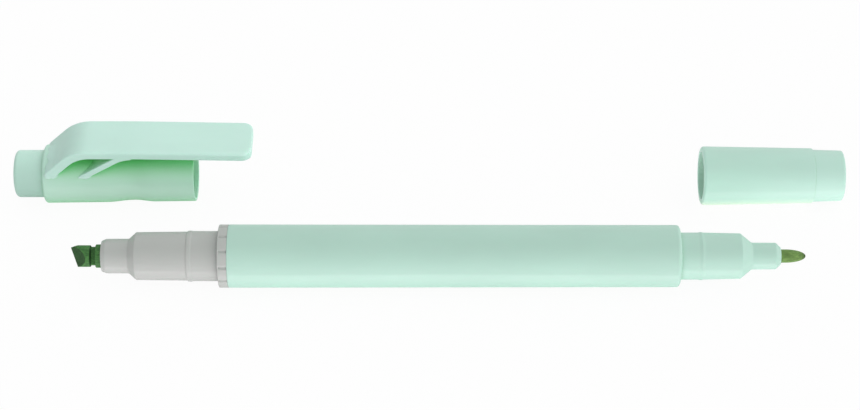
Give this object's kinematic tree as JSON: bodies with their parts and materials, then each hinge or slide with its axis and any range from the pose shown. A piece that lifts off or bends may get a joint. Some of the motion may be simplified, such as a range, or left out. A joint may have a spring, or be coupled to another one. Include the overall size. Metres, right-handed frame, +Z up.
{
  "type": "highlighter",
  "caption": "Slim double-ended highlighter lying open: a bevelled flexing chisel nib, a fine bullet nib, and a pocket-clip cap and a plain cap pulled off beside it.",
  "frame": {"origin": "middle of the laid-out set, on the surface that it lies on", "axes": "+X along the pen from the chisel tip to the fine tip, +Y from the pen to the caps, +Z up"},
  "size_m": [0.1518, 0.0322, 0.0147],
  "materials": {
    "barrel_plastic": "satin moulded polypropylene, pale mint",
    "cap_plastic": "satin moulded polypropylene, pale mint, slightly translucent",
    "liner_plastic": "satin moulded polypropylene, pale mint, slightly lighter",
    "section_plastic": "satin moulded polypropylene, light grey",
    "chisel_felt": "porous fibre, soaked with green ink",
    "fine_fibre": "pressed fibre, soaked with green ink",
    "ink_fibre": "bundled fibre rod holding green ink",
    "clear_film": "thin clear film"
  },
  "bodies": {
    "pen": {"barrel": "barrel_plastic", "chisel_section": "section_plastic", "chisel_shank": "chisel_felt", "fine_nib": "fine_fibre", "ink_reservoir": "ink_fibre", "reservoir_film": "clear_film"},
    "nib_tip": {"chisel_tip": "chisel_felt"},
    "clip_cap_body": {"clip_cap": "cap_plastic", "clip_cap_plug": "liner_plastic"},
    "clip_spring": {"clip_blade": "cap_plastic"},
    "fine_cap_body": {"fine_cap": "cap_plastic", "fine_cap_plug": "liner_plastic"}
  },
  "joints": [
    {"name": "clip_cap_pull", "type": "slide", "parent": "pen", "child": "clip_cap_body", "axis": [-1, 0, 0], "range_m": [-0.0058, 0.0207]},
    {"name": "fine_cap_pull", "type": "slide", "parent": "pen", "child": "fine_cap_body", "axis": [1, 0, 0], "range_m": [-0.00575, 0.0167]},
    {"name": "chisel_flex", "type": "hinge", "parent": "pen", "child": "nib_tip", "pos_m": [-0.05945, -0.0105, 0.0056], "axis": [0, 0.7071, 0.7071], "range_deg": [-10, 10], "stiffness_Nm_per_rad": 0.02},
    {"name": "clip_flex", "type": "hinge", "parent": "clip_cap_body", "child": "clip_spring", "pos_m": [-0.0535, 0.0107, 0.0147], "axis": [0, -1, 0], "range_deg": [0, 4], "stiffness_Nm_per_rad": 0.6}
  ]
}
